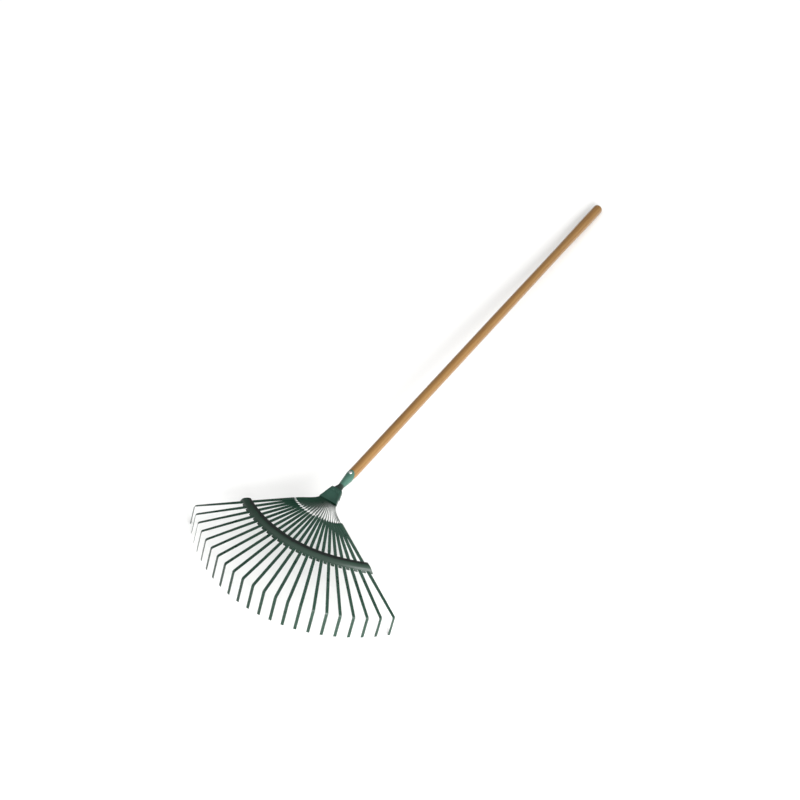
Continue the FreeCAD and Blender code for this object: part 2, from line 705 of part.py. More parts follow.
# ---------------------------------------------------------------- clamp rivets
def rivet_shape(x):
    """Two round-edged heads on a shank through both shells and the tang."""
    head = size("rivet_head_diameter") / 2.0
    rise = size("rivet_head_height")
    top = Vector(0, 0, CLAMP_OUTSIDE)
    bottom = Vector(0, 0, -LOWER_OUTSIDE)
    solid = Part.makeCylinder(size("rivet_diameter") / 2.0, (top - bottom).Length, bottom)
    for seat, outward in ((top, Z_AXIS), (bottom, -Z_AXIS)):
        disc = Part.makeCylinder(head, rise, seat, outward)
        crown = (seat + outward * rise).z
        rims = [edge for edge in disc.Edges
                if abs(edge.BoundBox.ZMin - crown) < 0.01 and abs(edge.BoundBox.ZMax - crown) < 0.01]
        solid = solid.fuse(disc.makeFillet(rise * 0.8, rims))
    solid.translate(Vector(x, size("clamp_length") - size("rivet_inset"), 0))
    return solid


half_spacing = size("rivet_spacing") / 2.0
add_feature("clamp_rivets", Part.makeCompound([rivet_shape(-half_spacing),
                                               rivet_shape(half_spacing)]), CLAMP_PLACE)

# ---------------------------------------------------------------- socket
# Worked out in the handle's own frame: Y along the handle from its nose, Z up.
NOSE_HALF = size("nose_diameter") / 2.0
BARREL_HALF = size("handle_diameter") / 2.0
NOSE_TAPER = (BARREL_HALF - NOSE_HALF) / size("nose_length")
SOCKET_WALL = size("sheet_gauge")
SEAT_STATION = size("socket_length") - size("screw_inset")


def socket_inside(station):
    """The socket's inner radius at a distance from the handle's nose."""
    return NOSE_HALF + size("fit_gap") / 2.0 + NOSE_TAPER * station


def cone_along(radius_at, start, end):
    return Part.makeCone(radius_at(start), radius_at(end), end - start,
                         Vector(0, start, 0), Y_AXIS)


def socket_outside(station):
    return socket_inside(station) + SOCKET_WALL


def oval(centre, across, height, facing):
    """A closed oval section, square to a direction in the YZ plane."""
    if height >= across - 0.001:
        edge = Part.Circle(centre, facing, across / 2.0).toShape()
        return Part.Wire([edge])
    tip = centre + X_AXIS * (across / 2.0)
    crest = centre + unit(X_AXIS.cross(facing)) * (height / 2.0)
    return Part.Wire([Part.Ellipse(tip, crest, centre).toShape()])


def socket_shape():
    """Rolled sheet socket: flattened tang, round neck and a cone cut off on the slant."""
    to_handle = HANDLE_PLACE.inverse().multiply(CLAMP_PLACE)
    clamp_axis = to_handle.Rotation.multVec(Y_AXIS)
    heel = size("clamp_length")
    neck_end = -size("socket_neck")
    neck_width = 2.0 * socket_outside(neck_end)
    tang_start = to_handle.multVec(Vector(0, heel - size("tang_length"), 0))
    tang_end = to_handle.multVec(Vector(0, heel, 0))
    tang = Part.makeLoft([
        oval(tang_start, size("tang_width"), size("tang_thickness"), clamp_axis),
        oval(tang_end, size("tang_width"), size("tang_thickness"), clamp_axis)], True, True)
    neck = Part.makeLoft([
        oval(tang_end, size("tang_width"), size("tang_thickness"), clamp_axis),
        oval(Vector(0, neck_end, 0), neck_width, neck_width, Y_AXIS)], True, True)
    cone = cone_along(socket_outside, neck_end, size("socket_length"))
    inside = cone_along(socket_inside, 0.0, size("socket_length") + 1.0)

    tip_half = socket_outside(size("socket_length"))
    slant = math.degrees(math.atan(size("socket_scarf") / (2.0 * tip_half)))
    span = 4.0 * tip_half + size("socket_scarf")
    beyond = Part.makeBox(span, span, 2.0 * span, Vector(-span / 2.0, 0, -span))
    beyond.Placement = Placement(Vector(0, size("socket_length"), tip_half),
                                 Rotation(X_AXIS, -slant))
    seam = Part.makeBox(size("socket_seam"), size("socket_length"), tip_half,
                        Vector(-size("socket_seam") / 2.0, 0, -tip_half))
    seat = Part.makeCylinder(size("screw_head_diameter") / 2.0 + size("fit_gap"), tip_half,
                             Vector(0, SEAT_STATION, socket_outside(SEAT_STATION)), Z_AXIS)
    screw_hole = Part.makeCylinder(size("screw_diameter") / 2.0 + size("screw_gap"), tip_half,
                                   Vector(0, SEAT_STATION, 0), Z_AXIS)
    rivet_bores = []
    for x in (-half_spacing, half_spacing):
        base = to_handle.multVec(Vector(x, heel - size("rivet_inset"), -heel))
        rivet_bores.append(Part.makeCylinder(
            (size("rivet_diameter") + size("fit_gap")) / 2.0, 2.0 * heel, base,
            to_handle.Rotation.multVec(Z_AXIS)))
    return tang.fuse([neck, cone]).cut([inside, beyond, seam, seat, screw_hole] + rivet_bores)


add_feature("socket", socket_shape(), HANDLE_PLACE)

# ---------------------------------------------------------------- handle
handle = add_body("handle", HANDLE_PLACE)
profile = add_sketch(handle, "XY_Plane")
add_polygon(profile, [
    ("0", "0"),
    ("Sheet.nose_diameter / 2", "0"),
    ("Sheet.handle_diameter / 2", "Sheet.nose_length"),
    ("Sheet.handle_diameter / 2", "Sheet.handle_length - Sheet.waist_inset - Sheet.taper_length"),
    ("Sheet.waist_diameter / 2", "Sheet.handle_length - Sheet.waist_inset"),
    ("Sheet.swell_diameter / 2", "Sheet.handle_length - Sheet.swell_inset"),
    ("Sheet.swell_diameter / 2", "Sheet.handle_length"),
    ("0", "Sheet.handle_length"),
])
add_revolution(handle, profile, "V_Axis")


def butt_edge(edge):
    box = edge.BoundBox
    return box.YMin > size("handle_length") - 0.01 and box.XMax > SWELL_HALF - 0.01


round_edges(handle, "Sheet.butt_round", butt_edge)
SOCKET_TOP_TEXT = ("(Sheet.nose_diameter / 2 + Sheet.fit_gap / 2 + (Sheet.handle_diameter"
                   " - Sheet.nose_diameter) / 2 / Sheet.nose_length * (Sheet.socket_length"
                   " - Sheet.screw_inset) + Sheet.sheet_gauge)")
pilot = add_sketch(handle, "XY_Plane",
                   f"{SOCKET_TOP_TEXT} - Sheet.screw_length - Sheet.screw_gap")
add_circle(pilot, "0", "Sheet.socket_length - Sheet.screw_inset",
           "Sheet.screw_diameter + 2 * Sheet.screw_gap", "pilot")
add_pocket(handle, pilot, "Sheet.handle_diameter", reverse=True)

# ---------------------------------------------------------------- socket screw
# Its own frame has Z up out of the socket, with zero under the head.
SCREW_PLACE = HANDLE_PLACE.multiply(Placement(
    Vector(0, SEAT_STATION, socket_outside(SEAT_STATION)), Rotation()))
screw = add_body("socket_screw", SCREW_PLACE)
turned = add_sketch(screw, "XZ_Plane")
add_polygon(turned, [
    ("0", "-Sheet.screw_length"),
    ("Sheet.screw_diameter / 2", "-Sheet.screw_length + Sheet.screw_diameter"),
    ("Sheet.screw_diameter / 2", "0"),
    ("Sheet.screw_head_diameter / 2", "0"),
    ("Sheet.screw_head_diameter / 2", "Sheet.screw_head_height"),
    ("0", "Sheet.screw_head_height"),
])
add_revolution(screw, turned, "V_Axis")


def head_rim(edge):
    box = edge.BoundBox
    return (box.ZMin > size("screw_head_height") - 0.01
            and box.XMax > size("screw_head_diameter") / 2.0 - 0.01)


round_edges(screw, "Sheet.screw_head_height * 0.8", head_rim)
slot = add_sketch(screw, "XY_Plane", "Sheet.screw_head_height")
add_polygon(slot, [
    ("-Sheet.screw_slot_width / 2", "-Sheet.screw_head_diameter"),
    ("Sheet.screw_slot_width / 2", "-Sheet.screw_head_diameter"),
    ("Sheet.screw_slot_width / 2", "Sheet.screw_head_diameter"),
    ("-Sheet.screw_slot_width / 2", "Sheet.screw_head_diameter"),
])
add_pocket(screw, slot, "Sheet.screw_slot_depth")

# ---------------------------------------------------------------- check and export
doc.recompute()
for item in doc.Objects:
    bad = [state for state in item.State if state in ("Invalid", "Error")]
    if bad:
        raise RuntimeError(f"{item.Name}: {bad}")
for item in sub_parts:
    shape = item.Shape
    if shape.isNull() or not shape.isValid() or not shape.Solids:
        raise RuntimeError(f"{item.Label}: bad shape")
for item in sub_parts:
    item.Shape.exportStep(os.path.join("parts", item.Label + ".step"))
    print(item.Label, len(item.Shape.Solids), round(item.Shape.Volume, 1))
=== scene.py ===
"""Leaf rake: the finished look of the steel head, its socket and the turned ash handle.

All places are in the row frame, in metres: +Z up, +Y towards the handle's butt, X across the head.
"""
import json
import math

import bmesh
import bpy
from bpy.props import FloatProperty, FloatVectorProperty, StringProperty
from mathutils import Matrix, Vector


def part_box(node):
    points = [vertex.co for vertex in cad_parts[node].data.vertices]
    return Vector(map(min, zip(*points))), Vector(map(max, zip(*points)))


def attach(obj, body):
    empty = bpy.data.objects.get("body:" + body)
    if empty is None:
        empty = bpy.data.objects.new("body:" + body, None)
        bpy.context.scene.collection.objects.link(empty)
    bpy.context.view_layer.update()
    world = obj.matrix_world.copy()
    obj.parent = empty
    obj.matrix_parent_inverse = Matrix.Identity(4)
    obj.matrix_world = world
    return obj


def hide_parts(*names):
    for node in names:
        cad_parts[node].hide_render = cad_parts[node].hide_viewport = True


bl_info = {
    "name": "Leaf rake",
    "version": (1, 0, 0),
    "blender": (4, 5, 0),
    "location": "3D View > Sidebar > Leaf rake",
    "description": "Finishes the pieces of a spring-steel leaf rake around its fixed frame",
    "category": "Add Mesh",
}

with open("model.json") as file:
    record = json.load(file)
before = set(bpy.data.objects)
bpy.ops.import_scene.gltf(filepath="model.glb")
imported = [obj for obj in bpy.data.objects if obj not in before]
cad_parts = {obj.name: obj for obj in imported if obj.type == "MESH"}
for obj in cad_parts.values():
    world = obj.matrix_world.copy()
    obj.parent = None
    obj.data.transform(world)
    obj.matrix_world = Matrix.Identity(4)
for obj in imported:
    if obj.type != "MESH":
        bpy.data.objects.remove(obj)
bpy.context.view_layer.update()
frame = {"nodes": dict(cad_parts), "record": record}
BODY = "root"
MM = 0.001

TINES = sorted(name for name in frame["nodes"] if name.startswith("tine_") and name[-2:].isdigit())
BARREL = next(mount for mount in frame["record"]["mounts"] if mount["name"] == "handle_barrel")
AXIS = Vector(BARREL["axis"]).normalized()
BARREL_MIDDLE = Vector(BARREL["pos_m"])
CLAMP_LOW, CLAMP_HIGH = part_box("clamp_upper_shell")
CLAMP_MIDDLE = (Vector(CLAMP_LOW) + Vector(CLAMP_HIGH)) / 2.0
# A spreader face gets the nearly black painted shade of its back unless it leans away from the
# clamp by more than this.
BACK_FACING = -0.1
CLEAR_COAT_IOR = 1.5  # alkyd enamel and varnish alike


# ---------------------------------------------------------------- sizes and colours
class HandleSettings(bpy.types.PropertyGroup):
    """The turned handle, from the nose in the socket to the butt."""
    barrel_diameter: FloatProperty(
        name="Barrel diameter", description="Straight part of the handle",
        default=2.0 * BARREL["dims"]["r_mm"] * MM, unit="LENGTH")
    barrel_length: FloatProperty(
        name="Barrel length", description="From the end of the nose to the start of the waist",
        default=BARREL["dims"]["length_mm"] * MM, unit="LENGTH")
    nose_diameter: FloatProperty(
        name="Nose diameter", description="Small end inside the socket",
        default=12.6 * MM, unit="LENGTH")
    nose_length: FloatProperty(
        name="Nose length", description="Taper inside the socket",
        default=48.0 * MM, unit="LENGTH")
    waist_diameter: FloatProperty(
        name="Waist diameter", description="Grip at its thinnest",
        default=22.8 * MM, unit="LENGTH")
    waist_inset: FloatProperty(
        name="Waist inset", description="Waist from the butt",
        default=215.0 * MM, unit="LENGTH")
    swell_diameter: FloatProperty(
        name="Swell diameter", description="Swollen end of the grip",
        default=25.4 * MM, unit="LENGTH")
    swell_inset: FloatProperty(
        name="Swell inset", description="Full swell from the butt",
        default=62.0 * MM, unit="LENGTH")
    butt_round: FloatProperty(
        name="Butt rounding", description="Radius round the end of the butt",
        default=10.0 * MM, unit="LENGTH")
    length: FloatProperty(
        name="Length", description="Whole handle", default=1219.0 * MM, unit="LENGTH")


class EdgeSettings(bpy.types.PropertyGroup):
    """Rounding of the sheet and strip edges under their enamel."""
    strip: FloatProperty(
        name="Strip edge", description="Rounded edge of the rolled spring-steel strip",
        default=0.28 * MM, unit="LENGTH")
    sheet: FloatProperty(
        name="Sheet edge", description="Sheared edge of the pressed sheet, filled by enamel",
        default=0.3 * MM, unit="LENGTH")
    fastener: FloatProperty(
        name="Fastener edge", description="Edge of the rivets and of the screw's slot",
        default=0.12 * MM, unit="LENGTH")


class FinishSettings(bpy.types.PropertyGroup):
    """Colours as sRGB hex values."""
    tine_enamel: StringProperty(
        name="Tine enamel", description="Thin dark green enamel on the tines", default="#133326")
    spreader_enamel: StringProperty(
        name="Spreader enamel", description="Dark green enamel on the spreader",
        default="#102A1E")
    clamp_enamel: StringProperty(
        name="Clamp enamel", description="Green enamel on the clamp", default="#1E4035")
    socket_enamel: StringProperty(
        name="Socket enamel", description="Lighter green enamel on the socket",
        default="#3A6053")
    # Painted shade: a darker green for the socket's pressed neck, which lies in shade.
    neck_shade_enamel: StringProperty(
        name="Neck painted shade", description="Dark painted shade on the socket's pressed neck",
        default="#1B2B24")
    # Painted shade: a nearly black colour for the spreader faces that turn back towards the clamp.
    back_shade_enamel: StringProperty(
        name="Painted back shade", description="Nearly black painted shade on the spreader faces turned back towards the clamp",
        default="#0B1310")
    ash_light: StringProperty(
        name="Ash, early wood", description="Pale wood between the grain lines",
        default="#916C36")
    ash_dark: StringProperty(
        name="Ash, late wood", description="Brown grain lines", default="#74471A")
    zinc: StringProperty(
        name="Zinc plate", description="Bright plated screw", default="#D5D8D8")
    floor: StringProperty(
        name="Floor", description="Pale studio floor", default="#F7F7F6")


class StageSettings(bpy.types.PropertyGroup):
    """Camera and light."""
    target: FloatVectorProperty(
        name="Target", description="Point the camera looks at", default=(-0.0342, -0.1321, 0.1),
        subtype="TRANSLATION")
    azimuth: FloatProperty(
        name="Azimuth", description="Camera's direction round the rake, from -Y towards +X",
        default=math.radians(33.08), subtype="ANGLE")
    elevation: FloatProperty(
        name="Elevation", description="Camera above the floor", default=math.radians(50.36),
        subtype="ANGLE")
    roll: FloatProperty(
        name="Roll", description="Camera about its own line of sight",
        default=math.radians(0.56), subtype="ANGLE")
    distance: FloatProperty(
        name="Distance", description="Camera from its target", default=4.818, unit="LENGTH")
    lens: FloatProperty(name="Lens", description="Focal length in millimetres", default=90.0)
    key_power: FloatProperty(name="Key light", description="Large overhead softbox, watts",
                             default=400.0)
    side_power: FloatProperty(name="Side light", description="Low light on the right, watts",
                              default=22.0)
    sky: FloatProperty(name="Tent light", description="Even light from overhead", default=1.3)
    behind: FloatProperty(name="Light behind", description="The tent's open back", default=0.35)
    horizon: FloatProperty(name="Horizon light", description="Light of the room round the tent",
                           default=0.12)


GROUPS = {"rake_handle": HandleSettings, "rake_edges": EdgeSettings,
          "rake_finish": FinishSettings, "rake_stage": StageSettings}


# ---------------------------------------------------------------- materials
def linear(hex_value):
    """An sRGB hex colour as linear red, green, blue and alpha."""
    digits = hex_value.lstrip("#")
    colour = []
    for start in (0, 2, 4):
        value = int(digits[start:start + 2], 16) / 255.0
        colour.append(value / 12.92 if value <= 0.04045 else ((value + 0.055) / 1.055) ** 2.4)
    return (*colour, 1.0)


def per_mm(millimetres):
    """A pattern's scale that repeats it once in so many millimetres."""
    return 1.0 / (millimetres * MM)


def add_node(tree, kind, inputs=None, **settings):
    """A node with its settings; an input is a value or another node's output."""
    node = tree.nodes.new(kind)
    for name, value in settings.items():
        setattr(node, name, value)
    for name, value in (inputs or {}).items():
        if isinstance(value, bpy.types.NodeSocket):
            tree.links.new(value, node.inputs[name])
        else:
            node.inputs[name].default_value = value
    return node


def new_material(name):
    material = bpy.data.materials.new(name)
    material.use_nodes = True
    material.node_tree.nodes.clear()
    return material, material.node_tree


def set_surface(tree, shader):
    add_node(tree, "ShaderNodeOutputMaterial", {"Surface": shader.outputs[0]})


def baked_enamel(name, colour, roughness):
    """Stoved alkyd enamel sprayed thinly on steel: satin, with a fine orange peel, a little
    lighter where the coat is thin, and a few dull specks of dust caught in it."""
    material, tree = new_material(name)
    place = add_node(tree, "ShaderNodeTexCoord").outputs["Object"]
    coat = add_node(tree, "ShaderNodeTexNoise",
                    {"Vector": place, "Scale": per_mm(34.0), "Detail": 4.0, "Roughness": 0.6})
    specks = add_node(tree, "ShaderNodeTexNoise",
                      {"Vector": place, "Scale": per_mm(1.6), "Detail": 2.0})
    red, green, blue, _ = linear(colour)
    tones = add_node(tree, "ShaderNodeValToRGB", {"Fac": coat.outputs["Fac"]})
    tones.color_ramp.elements[0].position = 0.32
    tones.color_ramp.elements[0].color = (red * 0.80, green * 0.82, blue * 0.82, 1.0)
    tones.color_ramp.elements[1].position = 0.70
    tones.color_ramp.elements[1].color = (red * 1.22, green * 1.18, blue * 1.18, 1.0)
    dust = add_node(tree, "ShaderNodeMapRange",
                    {"Value": specks.outputs["Fac"], "From Min": 0.66, "From Max": 0.74,
                     "To Min": 0.0, "To Max": 0.3})
    pale = (red + 0.06, green + 0.07, blue + 0.065, 1.0)
    dusty = add_node(tree, "ShaderNodeMix",
                     {"Factor": dust.outputs["Result"], "A": tones.outputs["Color"], "B": pale},
                     data_type="RGBA")
    dulling = add_node(tree, "ShaderNodeMapRange",
                       {"Value": coat.outputs["Fac"], "From Min": 0.3, "From Max": 0.7,
                        "To Min": roughness - 0.05, "To Max": roughness + 0.07})
    # Real orange peel repeats about every millimetre and is a few microns high.
    peel = add_node(tree, "ShaderNodeTexNoise",
                    {"Vector": place, "Scale": per_mm(1.2), "Detail": 1.0})
    bump = add_node(tree, "ShaderNodeBump",
                    {"Height": peel.outputs["Fac"], "Strength": 0.25, "Distance": 0.05 * MM})
    set_surface(tree, add_node(
        tree, "ShaderNodeBsdfPrincipled",
        {"Base Color": dusty.outputs["Result"], "Roughness": dulling.outputs["Result"],
         "IOR": CLEAR_COAT_IOR, "Normal": bump.outputs["Normal"]}))
    return material


def bright_zinc(name, colour):
    """Bright zinc electroplate on a turned steel screw: cloudy gloss and fine scratches in it."""
    material, tree = new_material(name)
    place = add_node(tree, "ShaderNodeTexCoord").outputs["Object"]
    cloud = add_node(tree, "ShaderNodeTexNoise",
                     {"Vector": place, "Scale": per_mm(2.5), "Detail": 3.0})
    gloss = add_node(tree, "ShaderNodeMapRange",
                     {"Value": cloud.outputs["Fac"], "From Min": 0.3, "From Max": 0.7,
                      "To Min": 0.22, "To Max": 0.38})
    scratches = add_node(tree, "ShaderNodeTexNoise",
                         {"Vector": place, "Scale": per_mm(0.4), "Detail": 2.0})
    bump = add_node(tree, "ShaderNodeBump",
                    {"Height": scratches.outputs["Fac"], "Strength": 0.2,
                     "Distance": 0.02 * MM})
    set_surface(tree, add_node(
        tree, "ShaderNodeBsdfPrincipled",
        {"Base Color": linear(colour), "Metallic": 1.0, "Roughness": gloss.outputs["Result"],
         "Normal": bump.outputs["Normal"]}))
    return material


def varnished_ash(name, light, dark):
    """Turned ash under clear varnish: long grain lines along the handle, short open pores in
    the late wood, and a smooth coat over both."""
    material, tree = new_material(name)
    place = add_node(tree, "ShaderNodeTexCoord").outputs["Object"]
    # Local Z runs along the handle: growth rings about 2.5 mm apart drift over 400 mm.
    ring_space = add_node(tree, "ShaderNodeMapping",
                          {"Vector": place, "Scale": (1.0, 1.0, 0.006)})
    warp = add_node(tree, "ShaderNodeTexNoise",
                    {"Vector": ring_space.outputs["Vector"], "Scale": per_mm(9.0),
                     "Detail": 2.0})
    rings = add_node(tree, "ShaderNodeTexWave",
                     {"Vector": ring_space.outputs["Vector"], "Scale": per_mm(2.5) / 6.28,
                      "Distortion": 2.6, "Detail": 2.0, "Detail Scale": 1.4,
                      "Phase Offset": warp.outputs["Fac"]},
                     wave_type="BANDS", bands_direction="X")
    # Pores are lines 0.5 mm wide and some 25 mm long.
    pore_space = add_node(tree, "ShaderNodeMapping",
                          {"Vector": place, "Scale": (1.0, 1.0, 0.02)})
    pores = add_node(tree, "ShaderNodeTexNoise",
                     {"Vector": pore_space.outputs["Vector"], "Scale": per_mm(0.9),
                      "Detail": 3.0, "Roughness": 0.65})
    patches = add_node(tree, "ShaderNodeTexNoise",
                       {"Vector": place, "Scale": per_mm(160.0), "Detail": 2.0})
    ringed = add_node(tree, "ShaderNodeMapRange",
                      {"Value": rings.outputs["Fac"], "From Min": 0.15, "From Max": 1.0,
                       "To Min": 0.0, "To Max": 0.62})
    grain = add_node(tree, "ShaderNodeMath",
                     {0: ringed.outputs["Result"], 1: pores.outputs["Fac"]},
                     operation="MULTIPLY")
    tones = add_node(tree, "ShaderNodeMix",
                     {"Factor": grain.outputs["Value"], "A": linear(light), "B": linear(dark)},
                     data_type="RGBA")
    fine = add_node(tree, "ShaderNodeMapRange",
                    {"Value": pores.outputs["Fac"], "From Min": 0.52, "From Max": 0.75,
                     "To Min": 0.0, "To Max": 0.75})
    streaked = add_node(tree, "ShaderNodeMix",
                        {"Factor": fine.outputs["Result"], "A": tones.outputs["Result"],
                         "B": linear(dark)}, data_type="RGBA")
    shade = add_node(tree, "ShaderNodeMapRange",
                     {"Value": patches.outputs["Fac"], "From Min": 0.3, "From Max": 0.7,
                      "To Min": 0.92, "To Max": 1.06})
    toned = add_node(tree, "ShaderNodeHueSaturation",
                     {"Value": shade.outputs["Result"], "Color": streaked.outputs["Result"]})
    bump = add_node(tree, "ShaderNodeBump",
                    {"Height": pores.outputs["Fac"], "Strength": 0.12, "Distance": 0.1 * MM})
    set_surface(tree, add_node(
        tree, "ShaderNodeBsdfPrincipled",
        {"Base Color": toned.outputs["Color"], "Roughness": 0.42, "IOR": CLEAR_COAT_IOR,
         "Coat Weight": 0.7, "Coat Roughness": 0.16, "Coat IOR": CLEAR_COAT_IOR,
         "Normal": bump.outputs["Normal"]}))
    return material


def matt_floor(name, colour):
    """Matt white studio board with a barely visible tooth."""
    material, tree = new_material(name)
    place = add_node(tree, "ShaderNodeTexCoord").outputs["Object"]
    tooth = add_node(tree, "ShaderNodeTexNoise", {"Vector": place, "Scale": per_mm(2.0)})
    bump = add_node(tree, "ShaderNodeBump",
                    {"Height": tooth.outputs["Fac"], "Strength": 0.05, "Distance": 0.05 * MM})
    set_surface(tree, add_node(
        tree, "ShaderNodeBsdfPrincipled",
        {"Base Color": linear(colour), "Roughness": 0.95, "Specular IOR Level": 0.1,
         "Normal": bump.outputs["Normal"]}))
    return material


# ---------------------------------------------------------------- pieces
def add_object(name, data):
    piece = bpy.data.objects.new(name, data)
    bpy.context.scene.collection.objects.link(piece)
    return piece


def stand_for(piece, node):
    """The piece takes a frame node's place, with the node hidden, and moves with its body."""
    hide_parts(node)
    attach(piece, BODY)


def rounded_piece(node, edge, material, flat_angle=0.4, sharp_angle=32.0):
    """The node's own shape with clean faces, rounded edges and smooth shading."""
    mesh = frame["nodes"][node].data.copy()
    mesh.name = node + "_finished"
    form = bmesh.new()
    form.from_mesh(mesh)
    bmesh.ops.remove_doubles(form, verts=form.verts, dist=0.001 * MM)
    bmesh.ops.dissolve_limit(form, angle_limit=math.radians(flat_angle), verts=form.verts,
                             edges=form.edges, use_dissolve_boundaries=False)
    for face in form.faces:
        face.smooth = True
    form.to_mesh(mesh)
    form.free()
    if mesh.has_custom_normals:
        mesh.attributes.remove(mesh.attributes["custom_normal"])
    mesh.set_sharp_from_angle(angle=math.radians(sharp_angle))
    mesh.materials.clear()
    mesh.materials.append(material)
    piece = add_object(node + "_finished", mesh)
    if edge > 0.0:
        bevel = piece.modifiers.new("Rounded edges", "BEVEL")
        bevel.width = edge
        bevel.segments = 2
        bevel.limit_method = "ANGLE"
        bevel.angle_limit = math.radians(sharp_angle)
        bevel.harden_normals = True
    stand_for(piece, node)
    return piece


def settings(name):
    return getattr(bpy.context.scene, name)


def nose_end(sizes):
    """The middle of the handle's small end, inside the socket."""
    return BARREL_MIDDLE - AXIS * (sizes.nose_length + sizes.barrel_length / 2.0)


class RAKE_OT_tines(bpy.types.Operator):
    """Flat spring-steel strips with rolled, rounded edges under dark enamel"""
    bl_idname = "rake.tines"
    bl_label = "Tines"

    def execute(self, context):
        enamel = baked_enamel("tine enamel", settings("rake_finish").tine_enamel, 0.3)
        for node in TINES:
            rounded_piece(node, settings("rake_edges").strip, enamel)
        return {"FINISHED"}


class RAKE_OT_spreader(bpy.types.Operator):
    """Pressed spreader bar with its notched skirt, and the strip folded under the tines"""
    bl_idname = "rake.spreader"
    bl_label = "Spreader"

    def execute(self, context):
        finish = settings("rake_finish")
        enamel = baked_enamel("spreader enamel", finish.spreader_enamel, 0.36)
        back_shade = baked_enamel("painted back shade", finish.back_shade_enamel, 0.3)
        for node in ("spreader_bar", "spreader_backing_strip"):
            piece = rounded_piece(node, 0.0, enamel)
            piece.data.materials.append(back_shade)
            # Painted shade: faces turned back towards the clamp get the nearly black enamel.
            for face in piece.data.polygons:
                back = (CLAMP_MIDDLE - face.center) * Vector((1.0, 1.0, 0.0))
                if face.normal.dot(back.normalized()) > BACK_FACING:
                    face.material_index = 1
        return {"FINISHED"}


class RAKE_OT_clamp(bpy.types.Operator):
    """Two pressed shells with the pin and the rivets that hold them to the tines"""
    bl_idname = "rake.clamp"
    bl_label = "Clamp"

    def execute(self, context):
        edges = settings("rake_edges")
        enamel = baked_enamel("clamp enamel", settings("rake_finish").clamp_enamel, 0.34)
        for node in ("clamp_upper_shell", "clamp_lower_shell"):
            rounded_piece(node, edges.sheet, enamel)
        for node in ("clamp_rivets", "tine_keeper_pin"):
            rounded_piece(node, edges.fastener, enamel)
        return {"FINISHED"}


class RAKE_OT_socket(bpy.types.Operator):
    """Rolled sheet socket and the round-head screw through it"""
    bl_idname = "rake.socket"
    bl_label = "Socket"

    def execute(self, context):
        edges = settings("rake_edges")
        finish = settings("rake_finish")
        socket = rounded_piece("socket", edges.sheet, baked_enamel(
            "socket enamel", finish.socket_enamel, 0.3))
        # Painted shade: the faces of the neck, in front of the handle's nose, get the darker
        # enamel.
        socket.data.materials.append(baked_enamel("neck painted shade", finish.neck_shade_enamel, 0.36))
        nose = nose_end(settings("rake_handle"))
        for face in socket.data.polygons:
            if (face.center - nose).dot(AXIS) < 0.0:
                face.material_index = 1
        rounded_piece("socket_screw", edges.fastener, bright_zinc(
            "bright zinc plate", finish.zinc))
        return {"FINISHED"}


def smooth_step(share):
    return share * share * (3.0 - 2.0 * share)


def handle_radius(sizes, station):
    """The turned handle's radius at a distance from its nose."""
    barrel = sizes.barrel_diameter / 2.0
    waist_at = sizes.length - sizes.waist_inset
    swell_at = sizes.length - sizes.swell_inset
    taper_at = sizes.nose_length + sizes.barrel_length
    swell = sizes.swell_diameter / 2.0
    waist = sizes.waist_diameter / 2.0
    if station < sizes.nose_length:
        nose = sizes.nose_diameter / 2.0
        return nose + (barrel - nose) * station / sizes.nose_length
    if station < taper_at:
        return barrel
    if station < waist_at:
        share = (station - taper_at) / (waist_at - taper_at)
        return barrel + (waist - barrel) * smooth_step(share)
    if station < swell_at:
        return waist + (swell - waist) * smooth_step((station - waist_at) / (swell_at - waist_at))
    into_round = station - (sizes.length - sizes.butt_round)
    if into_round <= 0.0:
        return swell
    return swell - sizes.butt_round + math.sqrt(max(sizes.butt_round ** 2 - into_round ** 2, 0.0))


class RAKE_OT_handle(bpy.types.Operator):
    """Turned ash handle with a waisted grip and a rounded butt"""
    bl_idname = "rake.handle"
    bl_label = "Handle"
    RING_STEP = 8.0 * MM
    BUTT_RINGS = 10
    SIDES = 64

    def execute(self, context):
        sizes = settings("rake_handle")
        finish = settings("rake_finish")
        straight = sizes.length - sizes.butt_round
        count = round(straight / self.RING_STEP)
        stations = [straight * i / count for i in range(count + 1)]
        stations += [straight + sizes.butt_round * math.sin(math.pi / 2.0 * i / self.BUTT_RINGS)
                     for i in range(1, self.BUTT_RINGS + 1)]
        form = bmesh.new()
        rings = []
        for station in stations:
            radius = handle_radius(sizes, station)
            rings.append([form.verts.new((radius * math.cos(math.tau * i / self.SIDES),
                                          radius * math.sin(math.tau * i / self.SIDES), station))
                          for i in range(self.SIDES)])
        for lower, upper in zip(rings, rings[1:]):
            for i in range(self.SIDES):
                j = (i + 1) % self.SIDES
                form.faces.new((lower[i], lower[j], upper[j], upper[i])).smooth = True
        form.faces.new(rings[0][::-1])
        form.faces.new(rings[-1]).smooth = True
        mesh = bpy.data.meshes.new("handle_turned")
        form.to_mesh(mesh)
        form.free()
        mesh.materials.append(varnished_ash("varnished ash", finish.ash_light, finish.ash_dark))
        piece = add_object("handle_turned", mesh)
        turn = AXIS.to_track_quat("Z", "X").to_matrix().to_4x4()
        piece.matrix_world = Matrix.Translation(nose_end(sizes)) @ turn
        stand_for(piece, "handle")
        return {"FINISHED"}


# ---------------------------------------------------------------- stage
KEY_PLACE = (5.2, -4.4, 4.4)
KEY_AIM = (0.0, -0.1, 0.0)
KEY_SIZE = (3.6, 2.4)
SIDE_PLACE = (1.3, -1.1, 0.3)
SIDE_AIM = (0.25, -0.62, 0.04)
SIDE_SIZE = (1.6, 0.6)
TENT_OPENING = (-0.55, 0.83, 0.0)  # direction of the tent's open back


def area_light(name, place, aim, extent, power):
    data = bpy.data.lights.new(name, "AREA")
    data.shape = "RECTANGLE"
    data.size, data.size_y = extent
    data.energy = power
    lamp = add_object(name, data)
    lamp.location = place
    lamp.visible_camera = False
    lamp.rotation_euler = (Vector(aim) - Vector(place)).to_track_quat("-Z", "Y").to_euler()
    return lamp


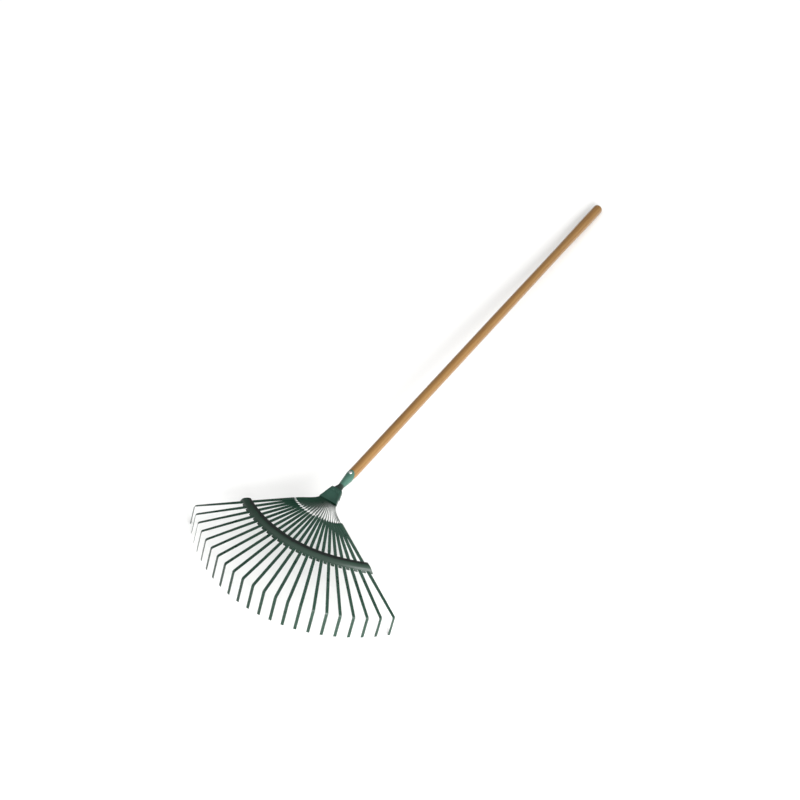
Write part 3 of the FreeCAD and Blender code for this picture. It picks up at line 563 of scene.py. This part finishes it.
def white_tent(name, overhead, behind, horizon):
    """White tent, open at the back, that ends in a darker room near the horizon."""
    world = bpy.data.worlds.new(name)
    world.use_nodes = True
    tree = world.node_tree
    tree.nodes.clear()
    direction = add_node(tree, "ShaderNodeTexCoord").outputs["Generated"]
    height = add_node(tree, "ShaderNodeSeparateXYZ", {"Vector": direction}).outputs["Z"]
    backwards = add_node(tree, "ShaderNodeVectorMath", {0: direction, 1: TENT_OPENING},
                         operation="DOT_PRODUCT").outputs["Value"]
    cloth = add_node(tree, "ShaderNodeMapRange",
                     {"Value": backwards, "From Min": -0.1, "From Max": 0.55,
                      "To Min": overhead, "To Max": behind}, interpolation_type="SMOOTHSTEP")
    level = add_node(tree, "ShaderNodeMapRange",
                     {"Value": height, "From Min": 0.05, "From Max": 0.45,
                      "To Min": horizon, "To Max": cloth.outputs["Result"]},
                     interpolation_type="SMOOTHSTEP")
    light = add_node(tree, "ShaderNodeBackground",
                     {"Color": (1.0, 1.0, 1.0, 1.0), "Strength": level.outputs["Result"]})
    add_node(tree, "ShaderNodeOutputWorld", {"Surface": light.outputs[0]})
    return world


class RAKE_OT_stage(bpy.types.Operator):
    """White floor, white tent, two lamps and the camera"""
    bl_idname = "rake.stage"
    bl_label = "Stage"
    FLOOR_HALF = 9.0
    FLOOR_SQUARES = 6
    SENSOR_WIDTH = 36.0
    VIEW_END = 50.0

    def execute(self, context):
        stage = settings("rake_stage")
        scene = context.scene
        scene.view_settings.view_transform = "Standard"

        form = bmesh.new()
        bmesh.ops.create_grid(form, x_segments=self.FLOOR_SQUARES,
                              y_segments=self.FLOOR_SQUARES, size=self.FLOOR_HALF)
        mesh = bpy.data.meshes.new("studio_floor")
        form.to_mesh(mesh)
        form.free()
        mesh.materials.append(matt_floor("matt white board", settings("rake_finish").floor))
        add_object("studio_floor", mesh)

        scene.world = white_tent("white tent", stage.sky, stage.behind, stage.horizon)

        area_light("key softbox", KEY_PLACE, KEY_AIM, KEY_SIZE, stage.key_power)
        area_light("side lamp", SIDE_PLACE, SIDE_AIM, SIDE_SIZE, stage.side_power)

        data = bpy.data.cameras.new("camera")
        data.lens = stage.lens
        data.sensor_width = self.SENSOR_WIDTH
        data.clip_end = self.VIEW_END
        camera = add_object("camera", data)
        turn = (Matrix.Rotation(stage.azimuth, 4, "Z")
                @ Matrix.Rotation(math.pi / 2.0 - stage.elevation, 4, "X")
                @ Matrix.Rotation(stage.roll, 4, "Z"))
        camera.matrix_world = (Matrix.Translation(Vector(stage.target)) @ turn
                               @ Matrix.Translation((0.0, 0.0, stage.distance)))
        scene.camera = camera
        return {"FINISHED"}


class RAKE_PT_pieces(bpy.types.Panel):
    """Lists the pieces and the stage"""
    bl_idname = "RAKE_PT_pieces"
    bl_label = "Leaf rake"
    bl_space_type = "VIEW_3D"
    bl_region_type = "UI"
    bl_category = "Leaf rake"

    def draw(self, context):
        for operator in OPERATORS:
            self.layout.operator(operator.bl_idname)


OPERATORS = (RAKE_OT_tines, RAKE_OT_spreader, RAKE_OT_clamp, RAKE_OT_socket, RAKE_OT_handle,
             RAKE_OT_stage)
CLASSES = (*GROUPS.values(), *OPERATORS, RAKE_PT_pieces)


def register():
    for item in CLASSES:
        bpy.utils.register_class(item)
    for name, group in GROUPS.items():
        setattr(bpy.types.Scene, name, bpy.props.PointerProperty(type=group))


def unregister():
    for name in GROUPS:
        delattr(bpy.types.Scene, name)
    for item in reversed(CLASSES):
        bpy.utils.unregister_class(item)


def main():
    register()
    bpy.ops.rake.tines()
    bpy.ops.rake.spreader()
    bpy.ops.rake.clamp()
    bpy.ops.rake.socket()
    bpy.ops.rake.handle()
    bpy.ops.rake.stage()


if __name__ == "__main__":
    main()
